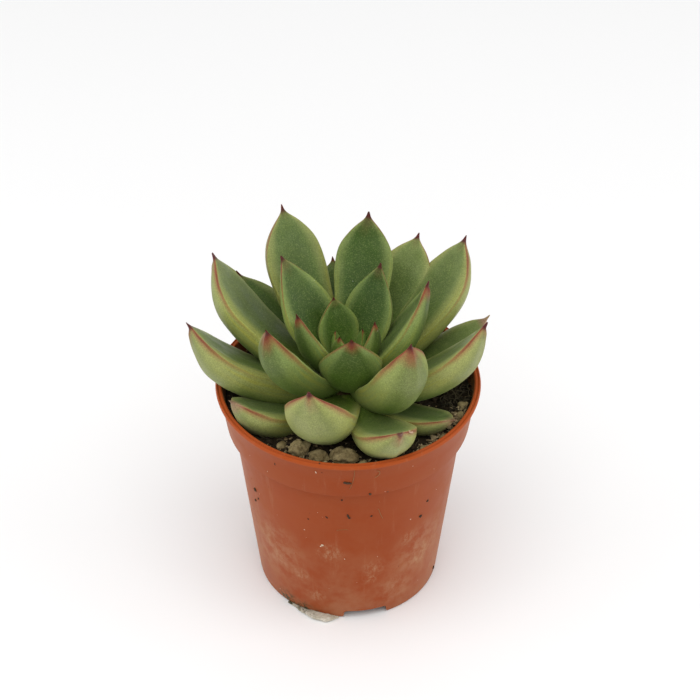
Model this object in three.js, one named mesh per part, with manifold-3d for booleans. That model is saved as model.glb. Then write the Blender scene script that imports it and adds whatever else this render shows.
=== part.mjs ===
// A rosette of Echeveria agavoides in a moulded nursery pot. Millimetres and degrees, +Z up.
import * as THREE from 'three';
import { mergeVertices } from 'three/addons/utils/BufferGeometryUtils.js';
import Module from 'manifold-3d';

const wasm = await Module();
wasm.setup();

const { degToRad, clamp } = THREE.MathUtils;

// Driving dimensions
const gap = 0.3; // between two pieces that touch
const potHeight = 96;
const rimRadius = 52.5;
const collarTopRadius = 51;
const collarFootRadius = 48.5;
const ledgeHeight = 77.2; // underside of the collar
const bodyTopRadius = 45.7;
const footRadius = 36.8;
const wall = 1.2;
const floorUnderside = 4.6;
const floorTop = 6;
const soilLevel = 89.5;
const lipHeight = 2.4;
const lipRound = 0.5;
const lipFlare = 0.8; // height over which it flares out
const lipWidth = 2.2;
const shoulderRise = 1; // the inside steps out this far over and under the ledge
const rosetteLean = 3.6; // the leaves reach further to -X, so the pot stands this far to +X

// Colours
const potColour = 0xa64f2c;
const soilColour = 0x2e241c;
const stemColour = 0x6b5a3e;
const leafColour = 0x6f8f52;
const pebbleColour = 0xb7ab98;
const crustColour = 0xcfcab8;

// Leaf sections from base to tip: share of the length, of the width and of the depth. Outer leaves
// are broadest near the tip, and inner ones taper.
const broadLeaf = [
  [0.0, 0.42, 0.4],
  [0.14, 0.6, 0.75],
  [0.35, 0.81, 0.97],
  [0.56, 0.97, 1.0],
  [0.65, 1.0, 0.95],
  [0.76, 0.89, 0.78],
  [0.85, 0.61, 0.53],
  [0.92, 0.26, 0.25],
  [0.955, 0.1, 0.1],
  [0.98, 0.05, 0.05],
];
const pointedLeaf = [
  [0.0, 0.38, 0.42],
  [0.14, 0.64, 0.8],
  [0.3, 0.88, 0.98],
  [0.45, 1.0, 0.99],
  [0.58, 0.95, 0.88],
  [0.7, 0.76, 0.7],
  [0.8, 0.52, 0.5],
  [0.88, 0.3, 0.3],
  [0.94, 0.13, 0.135],
  [0.975, 0.055, 0.06],
];
const lastPointed = 9; // the age up to which a leaf tapers
const leafSides = 8;

// How a leaf's section is shaped, in shares of its depth
const leafForm = {
  rim: 0.1, // thickness of the margin over its widest line
  crown: 0.2, // rise of the upper face at the base
  hollow: 0.05, // dip of the upper face halfway
  hollowFrom: 0.1,
  hollowLength: 0.85,
  keel: 0.45, // how much the belly sharpens at the tip
  keelFrom: 0.55,
  keelLength: 0.4,
};

// Leaves from the newest in the centre to the oldest at the soil. age counts the leaves that grew
// after it: each stands a golden angle from the next, plus its own small turn, and some old ones
// are gone. rise is the slope at the base, curl how far the tip turns up from there, roll the turn
// about its own length, and from and height place the base.
const newestAzimuth = 160.5;
const goldenAngle = 137.5;
const leafKeys = ['age', 'turn', 'rise', 'curl', 'length', 'width', 'depth', 'roll', 'from', 'height'];
const leafRows = [
  [0, 10, 72, 12, 14, 8, 3, 0, 2, 106],
  [1, -13, 70, 12, 15, 8, 3, 0, 2, 106],
  [2, -14, 72, 12, 16, 9, 3.5, 0, 2, 105],
  [3, 13, 64, 12, 27, 18, 6.5, 0, 2, 104],
  [4, 4, 62, 18, 26, 12, 5.5, 0, 3, 104],
  [5, 9, 60, 4, 37, 19, 8, 8, 4, 102],
  [6, 3, 57, 8, 42, 21, 9, 2, 4, 101],
  [7, -4, 57, 20, 34, 25, 9, 0, 5, 99.5],
  [8, 6.5, 52, 8, 52, 25, 10, -3, 2, 101],
  [9, 3, 46, 20, 49, 26, 10, -16, 4, 100],
  [10, -4, 41, 22, 57, 20.5, 12, 2, 6, 97.5],
  [11, -9, 40, 26, 62, 23.8, 11, 0, 6, 98],
  [12, -5, 28, 47, 54, 22.5, 14, -4, 6, 97.5],
  [13, -14, 18, 38, 69, 33, 12, 22, 6, 97],
  [14, 0, 18.5, 36, 70, 29, 11.5, -14, 6, 97],
  [15, -3, 5, 66, 61, 27.5, 12.5, 4, 3, 92.5],
  [16, 3, 36, 31, 71, 26.5, 11, 4, 6, 96],
  [17, 3, 16, 42, 60.5, 32, 12, -18, 6, 95],
  [18, -20, 7, 41, 65, 28, 13.5, 22, 6, 95],
  [19, -7, 19, 30, 65, 26, 10, 0, 6, 94],
  [20, -1, -2, 46, 55, 24, 12, -4, 6, 94],
  [21, -9, 14, 34, 60, 26, 10, 6, 6, 93],
  [22, -3, 6, 36, 58, 24, 10, -10, 6, 93],
  [23, -25, 0, 40, 49, 28, 12, 16, 7, 90],
  [24, -3, 19, 30, 52, 24, 9, 0, 6, 92],
  [25, -1, 2, 18, 46, 23, 9, -20, 6, 91.5],
  [27, 0, 2, 22, 43, 24, 8, 0, 6, 91],
  [29, 0, 2, 22, 42, 24, 8, 0, 6, 91],
  [32, -3, 0, 20, 40, 23, 8, 0, 6, 90],
];
const leaves = leafRows.map((row) => Object.fromEntries(row.map((value, i) => [leafKeys[i], value])));

// Granules on the soil: centre, size along x, y and z, and turn about Z
const pebbles = [
  { at: [-18.8, -36.6, 91.4], size: [8.4, 7, 6.4], turn: 20 },
  { at: [-11.4, -40.8, 90.6], size: [8.6, 6.4, 5.6], turn: -25 },
  { at: [-1.6, -40.4, 91.2], size: [12, 7.4, 6], turn: -12 },
  { at: [-25.6, -33.2, 90], size: [4.6, 3.6, 3], turn: 50 },
  { at: [-5.6, -45.4, 89.8], size: [4.8, 3, 2.4], turn: 10 },
  { at: [5.8, -43.6, 89.9], size: [4.4, 3.2, 2.8], turn: 35 },
  { at: [29.4, -35.4, 90.2], size: [4.8, 3.4, 3], turn: 40 },
  { at: [36.8, -28.2, 90.2], size: [4.2, 3, 2.8], turn: 60 },
  { at: [44, -15.8, 90.4], size: [4.6, 3.6, 3.2], turn: 75 },
  { at: [45.2, -10.2, 90.6], size: [5.2, 4, 3.6], turn: 30 },
];

// A closed geometry as a solid for cutting and joining.
function solidOf(geometry) {
  geometry.deleteAttribute('normal');
  geometry.deleteAttribute('uv');
  const merged = mergeVertices(geometry, 1e-4);
  return new wasm.Manifold(new wasm.Mesh({
    numProp: 3,
    vertProperties: new Float32Array(merged.attributes.position.array),
    triVerts: new Uint32Array(merged.index.array),
  }));
}

function geometryOf(solid) {
  const mesh = solid.getMesh();
  const geometry = new THREE.BufferGeometry();
  geometry.setAttribute('position', new THREE.BufferAttribute(mesh.vertProperties, 3));
  geometry.setIndex(new THREE.BufferAttribute(mesh.triVerts, 1));
  geometry.computeVertexNormals();
  return geometry;
}

// The biggest of the bodies that a cut leaves, without the slivers.
function mainBody(solid) {
  const bodies = solid.decompose();
  return bodies.reduce((best, body) => (body.volume() > best.volume() ? body : best));
}

function addPiece(name, solid, colour, roughness) {
  const material = new THREE.MeshStandardMaterial({ color: colour, roughness, metalness: 0 });
  const mesh = new THREE.Mesh(geometryOf(solid), material);
  mesh.name = name;
  plant.add(mesh);
}

function latheSolid(profile, sides) {
  const points = profile.map(([radius, height]) => new THREE.Vector2(radius, height));
  return solidOf(new THREE.LatheGeometry(points, sides).rotateX(Math.PI / 2));
}

const bodyRadius = (height) => footRadius + (bodyTopRadius - footRadius) * (height / ledgeHeight);

// The pot: one moulding with a raised floor, a foot skirt, a ledge, a collar and a rolled lip.
// grow thickens it outwards and inwards, for cutting its neighbours.
function potSolid(grow) {
  const outer = (height) => bodyRadius(height) + grow;
  const inner = (height) => bodyRadius(height) - wall - grow;
  const profile = [
    [0, floorUnderside - grow],
    [inner(floorUnderside), floorUnderside - grow],
    [inner(0), -grow],
    [outer(0), -grow],
    [outer(ledgeHeight), ledgeHeight - grow],
    [collarFootRadius + grow, ledgeHeight - grow],
    [collarTopRadius + grow, potHeight - lipHeight],
    [rimRadius + grow, potHeight - lipHeight + lipFlare],
    [rimRadius + grow, potHeight - lipRound],
    [rimRadius - lipRound, potHeight + grow],
    [rimRadius - lipWidth, potHeight + grow],
    [collarTopRadius - wall - grow, potHeight - 2 * lipRound],
    [collarFootRadius - wall - grow, ledgeHeight + shoulderRise + grow],
    [inner(ledgeHeight), ledgeHeight - shoulderRise + grow],
    [inner(floorTop), floorTop + grow],
    [0, floorTop + grow],
  ];
  return latheSolid(profile, 48);
}

const notchCount = 3;
const notchAzimuth = 281;
const notchWidth = 17.6;
const notchHeight = 3.8;
const notchCorner = 1.2;
const notchReach = 5; // the cutter reaches this far to each side of the skirt
const holeCount = 8;
const holeRadius = 4;
const holeCircle = 26;

// The openings in the foot: notches through the skirt, and drain holes through the floor.
function footCuts() {
  const outline = new THREE.Shape();
  const half = notchWidth / 2;
  const corner = notchCorner;
  outline.moveTo(-half, -2);
  outline.lineTo(half, -2);
  outline.lineTo(half, notchHeight - corner);
  outline.quadraticCurveTo(half, notchHeight, half - corner, notchHeight);
  outline.lineTo(corner - half, notchHeight);
  outline.quadraticCurveTo(-half, notchHeight, -half, notchHeight - corner);
  outline.closePath();
  let cuts = null;
  const collect = (solid) => {
    cuts = cuts ? cuts.add(solid) : solid;
  };
  for (let i = 0; i < notchCount; i += 1) {
    const geometry = new THREE.ExtrudeGeometry(outline, {
      depth: 2 * notchReach, bevelEnabled: false, curveSegments: 3,
    });
    geometry.rotateX(Math.PI / 2).rotateZ(Math.PI / 2).translate(footRadius - notchReach, 0, 0);
    collect(solidOf(geometry.rotateZ(degToRad(notchAzimuth + (360 / notchCount) * i))));
  }
  for (let i = 0; i < holeCount; i += 1) {
    const hole = new THREE.CylinderGeometry(holeRadius, holeRadius, floorTop, 14).rotateX(Math.PI / 2);
    hole.translate(holeCircle, 0, floorTop);
    collect(solidOf(hole.rotateZ(degToRad((360 / holeCount) * i))));
  }
  return cuts;
}

const soilDip = 0.8; // the soil sinks this far at the wall

// The soil: it fills the pot, and its top is uneven.
function soilSolid() {
  const outer = (height) => bodyRadius(height) - wall - gap;
  const shoulder = collarFootRadius - wall - gap;
  const edge = collarTopRadius - wall - 2 * gap - soilDip;
  const profile = [
    [0, floorTop + gap],
    [outer(floorTop), floorTop + gap],
    [outer(ledgeHeight - 1), ledgeHeight - 1],
    [shoulder, ledgeHeight + shoulderRise + 2 * gap],
    [edge, soilLevel - soilDip],
    [44, soilLevel],
    [36, soilLevel],
    [27, soilLevel],
    [18, soilLevel],
    [0, soilLevel],
  ];
  const points = profile.map(([radius, height]) => new THREE.Vector2(radius, height));
  const geometry = new THREE.LatheGeometry(points, 40).rotateX(Math.PI / 2);
  const position = geometry.attributes.position;
  for (let i = 0; i < position.count; i += 1) {
    const x = position.getX(i);
    const y = position.getY(i);
    const broad = 0.5 * Math.sin(x * 0.31 + 1) * Math.cos(y * 0.27);
    const small = 0.35 * Math.sin(x * 0.7 - y * 0.55);
    if (position.getZ(i) > soilLevel - gap) position.setZ(i, position.getZ(i) + broad + small);
  }
  return solidOf(geometry);
}

// The short woody stem, from the soil up into the rosette.
function stemSolid(grow) {
  const profile = [
    [0, 62 - grow],
    [6 + grow, 62 - grow],
    [8.5 + grow, 78],
    [9 + grow, 92],
    [8 + grow, 99],
    [5.5 + grow, 104],
    [2.5 + grow, 106 + grow],
    [0, 106.5 + grow],
  ];
  return latheSolid(profile, 16);
}

// One leaf, from a sphere's grid whose poles are its base and its tip. Its upper face is a little
// hollow, its belly deep and round, and towards the tip the belly sharpens to a keel.
function leafSolid(leaf, grow) {
  const shape = leaf.age <= lastPointed ? pointedLeaf : broadLeaf;
  const sections = shape.length;
  const geometry = new THREE.SphereGeometry(1, leafSides, sections + 1);
  const position = geometry.attributes.position;
  const curl = degToRad(leaf.curl);
  const bendRadius = leaf.length / curl;
  for (let row = 0; row <= sections + 1; row += 1) {
    const atPole = row === 0 || row === sections + 1;
    const [along, widthShare, depthShare] = shape[clamp(row - 1, 0, sections - 1)];
    const t = row > sections ? 1 : along;
    const past = row === 0 ? -grow : row > sections ? 2 * grow : 0;
    const depth = leaf.depth * depthShare;
    const hollowed = Math.sin(Math.PI * clamp((t - leafForm.hollowFrom) / leafForm.hollowLength, 0, 1));
    const crown = leafForm.crown * (1 - t) * depth - leafForm.hollow * leaf.depth * hollowed;
    const keel = leafForm.keel * clamp((t - leafForm.keelFrom) / leafForm.keelLength, 0, 1);
    for (let side = 0; side <= leafSides; side += 1) {
      const around = Math.PI - (2 * Math.PI * side) / leafSides;
      const across = Math.cos(around);
      const up = side === 0 || side === leafSides ? 0 : Math.sin(around);
      let y = ((leaf.width / 2) * widthShare + grow) * across;
      let z = up * grow;
      if (up >= 0) z += leafForm.rim * depth * up ** 0.7 + crown * up * up;
      else z -= depth * ((1 - keel) * (-up) ** 0.9 + keel * (1 - Math.abs(across)));
      if (atPole) {
        y = 0;
        z = -0.3 * depth;
      }
      const angle = curl * t;
      const x = bendRadius * Math.sin(angle) + past * Math.cos(angle) - z * Math.sin(angle);
      const rise = bendRadius * (1 - Math.cos(angle)) + past * Math.sin(angle) + z * Math.cos(angle);
      position.setXYZ(row * (leafSides + 1) + side, x, y, rise);
    }
  }
  const azimuth = newestAzimuth - goldenAngle * leaf.age + leaf.turn;
  geometry.rotateX(degToRad(leaf.roll)).rotateY(degToRad(-leaf.rise)).translate(leaf.from, 0, 0);
  return solidOf(geometry.rotateZ(degToRad(azimuth)).translate(0, 0, leaf.height));
}

// A rough granule: a faceted ball, pressed and dented, then sized and set down.
function pebbleSolid(pebble, grow) {
  const geometry = new THREE.IcosahedronGeometry(0.5, 1);
  const position = geometry.attributes.position;
  const point = new THREE.Vector3();
  const size = new THREE.Vector3(...pebble.size).addScalar(2 * grow);
  for (let i = 0; i < position.count; i += 1) {
    point.fromBufferAttribute(position, i);
    const dent = 1 + 0.14 * Math.sin(7 * point.x + pebble.turn) * Math.cos(9 * point.y + 5 * point.z);
    point.multiply(size).multiplyScalar(dent);
    position.setXYZ(i, point.x, point.y, point.z);
  }
  return solidOf(geometry.rotateZ(degToRad(pebble.turn)).translate(...pebble.at));
}

const crustReach = 44.4; // where the crescent's outer curve is drawn towards
const crustThickness = 1.4;

// The dried scrap of lime and algae that lies against the left of the foot: a thin crescent.
function crustSolid() {
  const inner = footRadius + 2 * gap;
  const from = degToRad(227);
  const to = degToRad(265);
  const peak = degToRad(250);
  const outline = new THREE.Shape();
  outline.absarc(0, 0, inner, from, to, false);
  outline.quadraticCurveTo(
    crustReach * Math.cos(peak),
    crustReach * Math.sin(peak),
    inner * Math.cos(from),
    inner * Math.sin(from),
  );
  const geometry = new THREE.ExtrudeGeometry(outline, {
    depth: crustThickness, bevelEnabled: false, curveSegments: 16,
  });
  return solidOf(geometry);
}

const potted = new THREE.Group();
const plant = new THREE.Group();
plant.position.x = rosetteLean;
potted.add(plant);

addPiece('pot', potSolid(0).subtract(footCuts()), potColour, 0.5);
addPiece('crust', crustSolid(), crustColour, 0.9);

addPiece('stem', stemSolid(0), stemColour, 0.8);

const potSpace = potSolid(gap);
let taken = stemSolid(gap); // the space that the next piece keeps out of

leaves.forEach((leaf, index) => {
  const body = mainBody(leafSolid(leaf, 0).subtract(potSpace).subtract(taken));
  taken = taken.add(leafSolid(leaf, gap));
  addPiece(`leaf_${String(index + 1).padStart(2, '0')}`, body, leafColour, 0.55);
});

pebbles.forEach((pebble, index) => {
  const body = mainBody(pebbleSolid(pebble, 0).subtract(potSpace).subtract(taken));
  taken = taken.add(pebbleSolid(pebble, gap));
  addPiece(`pebble_${String(index + 1).padStart(2, '0')}`, body, pebbleColour, 0.9);
});

addPiece('soil', mainBody(soilSolid().subtract(taken)), soilColour, 0.95);

export default potted;
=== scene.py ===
import math
import random

import bpy
from mathutils import Matrix, Vector


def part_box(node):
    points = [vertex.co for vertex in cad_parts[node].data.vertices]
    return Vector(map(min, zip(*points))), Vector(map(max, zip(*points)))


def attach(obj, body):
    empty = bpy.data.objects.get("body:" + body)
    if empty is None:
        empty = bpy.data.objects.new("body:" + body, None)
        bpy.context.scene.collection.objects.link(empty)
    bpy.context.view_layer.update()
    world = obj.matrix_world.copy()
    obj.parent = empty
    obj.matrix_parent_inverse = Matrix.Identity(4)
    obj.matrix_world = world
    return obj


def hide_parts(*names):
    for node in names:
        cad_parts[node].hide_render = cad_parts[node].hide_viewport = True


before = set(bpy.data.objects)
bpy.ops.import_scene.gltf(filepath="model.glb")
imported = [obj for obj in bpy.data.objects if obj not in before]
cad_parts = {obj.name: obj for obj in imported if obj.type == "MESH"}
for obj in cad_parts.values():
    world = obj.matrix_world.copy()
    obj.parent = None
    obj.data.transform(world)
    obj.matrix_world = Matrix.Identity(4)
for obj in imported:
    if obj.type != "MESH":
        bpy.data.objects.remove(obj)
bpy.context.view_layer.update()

mm = 0.001
hair = 0.001 * mm  # near enough to be the same place
potLow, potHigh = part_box("pot")
potX = (potLow.x + potHigh.x) / 2  # the pot's axis
potHeight = potHigh.z


# camera, floor and light
view = {
    "elevation": 38.9,
    "distance": 0.9,
    "lens": 118.3,
    "aim": Vector((potX + 0.74 * mm, 0, 110.6 * mm)),
}


def addCamera():
    tilt = math.radians(view["elevation"])
    back = Vector((0, -math.cos(tilt), math.sin(tilt)))
    bpy.ops.object.camera_add(
        location=view["aim"] + back * view["distance"], rotation=(math.pi / 2 - tilt, 0, 0)
    )
    camera = bpy.context.object
    camera.name = "camera"
    camera.data.sensor_width = 36
    camera.data.lens = view["lens"]
    camera.data.clip_start = 0.05
    bpy.context.scene.camera = camera


def addSoftbox(name, size, power, azimuth, elevation, distance):
    turn, tilt = math.radians(azimuth), math.radians(elevation)
    place = Vector((math.cos(turn) * math.cos(tilt), math.sin(turn) * math.cos(tilt), math.sin(tilt)))
    centre = Vector((potX, 0, potHeight))
    bpy.ops.object.light_add(type="AREA", location=centre + place * distance)
    light = bpy.context.object
    light.name = name
    light.data.shape = "DISK"
    light.data.size = size
    light.data.energy = power
    light.rotation_euler = place.to_track_quat("Z", "Y").to_euler()


studio = {
    "floor": (0.92, 0.92, 0.92),
    "sky": 0.72,
    # name, size in m, power in W, azimuth and elevation in degrees, distance in m
    "lights": [
        ("topLight", 1.2, 6.6, 265, 68, 1.2),
        ("leftLight", 0.9, 2.6, 188, 18, 1.1),
        ("rightLight", 0.9, 3, 352, 18, 1.1),
    ],
}


def addStage():
    bpy.ops.mesh.primitive_plane_add(size=6, location=(0, 0, -0.3 * mm))
    floor = bpy.context.object
    floor.name = "floor"
    paint = bpy.data.materials.new("paleFloor")
    paint.use_nodes = True
    shader = paint.node_tree.nodes["Principled BSDF"]
    shader.inputs["Base Color"].default_value = (*studio["floor"], 1)
    shader.inputs["Roughness"].default_value = 0.9
    shader.inputs["Specular IOR Level"].default_value = 0.2
    floor.data.materials.append(paint)

    world = bpy.data.worlds.new("studio")
    bpy.context.scene.world = world
    world.use_nodes = True
    sky = world.node_tree.nodes["Background"]
    sky.inputs["Color"].default_value = (1, 1, 1, 1)
    sky.inputs["Strength"].default_value = studio["sky"]

    for row in studio["lights"]:
        addSoftbox(*row)
    bpy.context.scene.view_settings.view_transform = "Standard"


addCamera()
addStage()
print("camera, floor and light are set")


# small helpers for working on one piece
def startEdit():
    bpy.ops.object.mode_set(mode="EDIT")


def endEdit():
    bpy.ops.object.mode_set(mode="OBJECT")


def deselectAll():
    if bpy.context.mode != "OBJECT":
        endEdit()
    bpy.ops.object.select_all(action="DESELECT")


def workOn(piece):
    deselectAll()
    piece.select_set(True)
    bpy.context.view_layer.objects.active = piece


def applyPlace(location=True, rotation=False, scale=False):
    bpy.ops.object.transform_apply(location=location, rotation=rotation, scale=scale)


def selectVertices(piece, test):
    # leaves edit mode to set the flags, and comes back with just those vertices selected
    startEdit()
    bpy.ops.mesh.select_mode(type="VERT")
    bpy.ops.mesh.select_all(action="DESELECT")
    endEdit()
    for vertex in piece.data.vertices:
        vertex.select = test(vertex.co)
    startEdit()


def resize(scale, about=(0, 0, 0)):
    bpy.ops.transform.resize(value=scale, center_override=about)


def extrudeRing(offset, scale, height):
    bpy.ops.mesh.extrude_region_move(TRANSFORM_OT_translate={"value": (0, 0, offset)})
    if scale != (1, 1):
        resize((*scale, 1), (0, 0, height))


def selectEdges(piece, test):
    bpy.ops.mesh.select_mode(type="EDGE")
    bpy.ops.mesh.select_all(action="DESELECT")
    endEdit()
    points = piece.data.vertices
    for edge in piece.data.edges:
        edge.select = test(*(points[index].co for index in edge.vertices))
    startEdit()


def closeRing():
    bpy.ops.mesh.extrude_region_move()
    bpy.ops.mesh.merge(type="CENTER")


def startRing(sides, radius, height):
    # a ring of points about the Z axis, left selected in edit mode
    deselectAll()
    bpy.ops.mesh.primitive_circle_add(vertices=sides, radius=radius * mm, location=(0, 0, height * mm))
    applyPlace()
    startEdit()
    bpy.ops.mesh.select_all(action="SELECT")
    return bpy.context.object


def raiseRings(rows):
    # takes the selected ring through rows of radius and height in mm
    for (r0, z0), (r1, z1) in zip(rows, rows[1:]):
        extrudeRing((z1 - z0) * mm, (r1 / r0, r1 / r0), z1 * mm)


def applyModifier(piece, kind, **values):
    workOn(piece)
    modifier = piece.modifiers.new(kind.lower(), kind)
    for name, value in values.items():
        setattr(modifier, name, value)
    bpy.ops.object.modifier_apply(modifier=modifier.name)


def cloudTexture(name, size, depth=2):
    texture = bpy.data.textures.new(name, "CLOUDS")
    texture.noise_scale = size
    texture.noise_depth = depth
    return texture


def cellTexture(name, size):
    texture = bpy.data.textures.new(name, "VORONOI")
    texture.noise_scale = size
    return texture


def roughen(piece, texture, strength, **values):
    applyModifier(
        piece, "DISPLACE", texture=texture, texture_coords="LOCAL", strength=strength, **values
    )


def giveAttribute(piece, name, values):
    piece.data.attributes.new(name, "FLOAT", "POINT").data.foreach_set("value", values)


def settle(piece, name, material, slot, *nodes):
    # names a finished piece, gives it its finish, hangs it under the root body, and hides the part nodes it
    # stands for
    piece.name = name
    piece.data.name = name
    piece.data.materials.clear()
    piece.data.materials.append(material)
    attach(piece, "root")
    if nodes:
        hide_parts(*nodes)


def smooth(piece, angle=None):
    workOn(piece)
    if angle is None:
        bpy.ops.object.shade_smooth()
    else:
        bpy.ops.object.shade_smooth_by_angle(angle=math.radians(angle))


def tidyNormals(piece, merge=0.0):
    workOn(piece)
    startEdit()
    bpy.ops.mesh.select_all(action="SELECT")
    if merge:
        bpy.ops.mesh.remove_doubles(threshold=merge)
    bpy.ops.mesh.normals_make_consistent(inside=False)
    endEdit()


def moveToPot(piece):
    # from the Z axis to the pot's own
    piece.location = (potX, 0, 0)
    workOn(piece)
    applyPlace()
    tidyNormals(piece)


def smoothStep(low, high, value):
    t = min(1, max(0, (value - low) / (high - low)))
    return t * t * (3 - 2 * t)


# node helpers
class Recipe:
    # a node tree being filled in, one short call a node
    def __init__(self, tree):
        self.tree = tree

    def put(self, kind, inputs=None, **settings):
        node = self.tree.nodes.new(kind)
        for name, value in settings.items():
            setattr(node, name, value)
        for name, value in (inputs or {}).items():
            self.feed(node.inputs[name], value)
        return node

    def feed(self, socket, value):
        if isinstance(value, bpy.types.NodeSocket):
            self.tree.links.new(value, socket)
        elif isinstance(value, tuple) and len(value) == 3 and socket.type == "RGBA":
            socket.default_value = (*value, 1)
        else:
            socket.default_value = value

    def math(self, operation, a, b=0.0):
        node = self.put("ShaderNodeMath", operation=operation)
        self.feed(node.inputs[0], a)
        self.feed(node.inputs[1], b)
        return node.outputs[0]

    def times(self, a, b):
        return self.math("MULTIPLY", a, b)

    def plus(self, a, b):
        return self.math("ADD", a, b)

    def minus(self, a, b):
        return self.math("SUBTRACT", a, b)

    def over(self, a, b):
        return self.math("DIVIDE", a, b)

    def size(self, a):
        return self.math("ABSOLUTE", a)

    def span(self, value, low, high, toLow=0.0, toHigh=1.0):
        inputs = {"Value": value, "From Min": low, "From Max": high, "To Min": toLow, "To Max": toHigh}
        return self.put("ShaderNodeMapRange", inputs, interpolation_type="SMOOTHSTEP").outputs[0]

    def mix(self, factor, a, b):
        node = self.put("ShaderNodeMix", data_type="RGBA")
        self.feed(node.inputs[0], factor)
        self.feed(node.inputs[6], a)
        self.feed(node.inputs[7], b)
        return node.outputs[2]

    def lay(self, colour, mask, share, paint):
        # a thin coat of paint where the mask is
        return self.mix(self.times(mask, share), colour, paint)

    def noise(self, where, scale, detail=3.0, roughness=0.55):
        inputs = {"Vector": where, "Scale": scale, "Detail": detail, "Roughness": roughness}
        return self.put("ShaderNodeTexNoise", inputs).outputs["Fac"]

    def stretched(self, where, scale):
        return self.put("ShaderNodeMapping", {"Vector": where, "Scale": scale}).outputs[0]

    def attribute(self, name):
        return self.put("ShaderNodeAttribute", attribute_name=name).outputs["Fac"]

    def place(self):
        return self.put("ShaderNodeTexCoord").outputs["Object"]

    def distance(self, where, point):
        node = self.put("ShaderNodeVectorMath", {0: where, 1: tuple(point)}, operation="DISTANCE")
        return node.outputs["Value"]

    def patches(self, where, size, contrast):
        inputs = {"Place": where, "Size": size, "Contrast": contrast}
        return self.put("ShaderNodeGroup", inputs, node_tree=patches).outputs["Mask"]

    def specks(self, where, spacing, share, size):
        inputs = {"Place": where, "Spacing": spacing, "Share": share, "Size": size}
        return self.put("ShaderNodeGroup", inputs, node_tree=specks).outputs["Mask"]

    def bump(self, height, strength, distance, normal=None):
        inputs = {"Height": height, "Strength": strength, "Distance": distance}
        if normal is not None:
            inputs["Normal"] = normal
        return self.put("ShaderNodeBump", inputs).outputs[0]

    def finish(self, shader, values):
        for name, value in values.items():
            self.feed(shader.inputs[name], value)


def newMaterial(name):
    material = bpy.data.materials.new(name)
    material.use_nodes = True
    recipe = Recipe(material.node_tree)
    shader = material.node_tree.nodes["Principled BSDF"]
    return material, recipe, shader


def newGroup(name, **numbers):
    # a node group that turns a place and some numbers into a mask
    tree = bpy.data.node_groups.new(name, "ShaderNodeTree")
    tree.interface.new_socket("Place", in_out="INPUT", socket_type="NodeSocketVector")
    for socket, value in numbers.items():
        made = tree.interface.new_socket(socket, in_out="INPUT", socket_type="NodeSocketFloat")
        made.default_value = value
    tree.interface.new_socket("Mask", in_out="OUTPUT", socket_type="NodeSocketFloat")
    start = tree.nodes.new("NodeGroupInput")
    end = tree.nodes.new("NodeGroupOutput")
    return tree, Recipe(tree), start.outputs, end.inputs


def specksGroup():
    # scattered dots: how far apart in metres, the share of cells that has one, and its reach in a cell
    tree, recipe, start, end = newGroup("specks", Spacing=0.001, Share=0.3, Size=0.3)
    scale = recipe.over(1.0, start["Spacing"])
    cells = recipe.put("ShaderNodeTexVoronoi", {"Vector": start["Place"], "Scale": scale, "Randomness": 1.0})
    tint = recipe.put("ShaderNodeSeparateColor", {"Color": cells.outputs["Color"]})
    chosen = recipe.math("LESS_THAN", tint.outputs[0], start["Share"])
    reach = recipe.times(start["Size"], recipe.plus(tint.outputs[1], 0.4))
    near = recipe.minus(1.0, recipe.over(cells.outputs["Distance"], reach))
    recipe.feed(end["Mask"], recipe.times(recipe.span(near, 0.0, 0.35), chosen))
    return tree


def patchesGroup():
    # soft patches: a broad and a fine noise, and how sharply they part
    tree, recipe, start, end = newGroup("patches", Size=0.01, Contrast=0.25)
    scale = recipe.over(1.0, start["Size"])
    broad = recipe.noise(start["Place"], scale, 2.0, 0.5)
    fine = recipe.noise(start["Place"], recipe.times(scale, 4.3), 3.0, 0.6)
    both = recipe.plus(recipe.times(broad, 0.7), recipe.times(fine, 0.3))
    low = recipe.minus(0.5, start["Contrast"])
    high = recipe.plus(0.5, start["Contrast"])
    recipe.feed(end["Mask"], recipe.span(both, low, high))
    return tree


specks = specksGroup()
patches = patchesGroup()


# leaf skin
leafFinish = {
    "upper": (0.056, 0.098, 0.016),
    "upperDeep": (0.032, 0.066, 0.009),
    "upperYoung": (0.03, 0.068, 0.008),
    "upperFresh": (0.1, 0.185, 0.012),
    # the youngest leaves' fresh green, made lighter still as painted light against the shade in the rosette's
    # heart
    "bud": (0.2, 0.32, 0.05),
    "upperTip": (0.18, 0.24, 0.078),
    "rim": (0.29, 0.31, 0.1),
    "rimYoung": (0.22, 0.29, 0.08),
    "belly": (0.132, 0.158, 0.044),
    # the old belly's own pale colour, lightened with painted light from below
    "bellyPaleAndLit": (0.25, 0.268, 0.105),
    "bellyYoung": (0.064, 0.106, 0.02),
    "bellyBase": (0.085, 0.165, 0.01),
    "bellyShade": (0.085, 0.12, 0.02),
    "streak": (0.36, 0.34, 0.045),
    "bloom": (0.33, 0.38, 0.15),
    "line": (0.25, 0.14, 0.04),
    "blush": (0.24, 0.065, 0.028),
    "patch": (0.16, 0.023, 0.013),
    "spine": (0.075, 0.01, 0.009),
    "dry": (0.46, 0.31, 0.19),
    "dryDark": (0.11, 0.05, 0.028),
    "pore": (0.4, 0.46, 0.15),
    "dust": (0.72, 0.72, 0.6),
    "gloss": 0.2,
    "sheen": (1.0, 1.0, 0.6),
    "depth": (0.002, 0.003, 0.0008),  # how far red, green and blue light goes in, in metres
}


# face is -1 in the middle of the upper face, 0 at the margin and 1 in the middle of the belly
leafMarks = ("along", "across", "face", "young", "bud", "tone", "dry")


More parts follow.
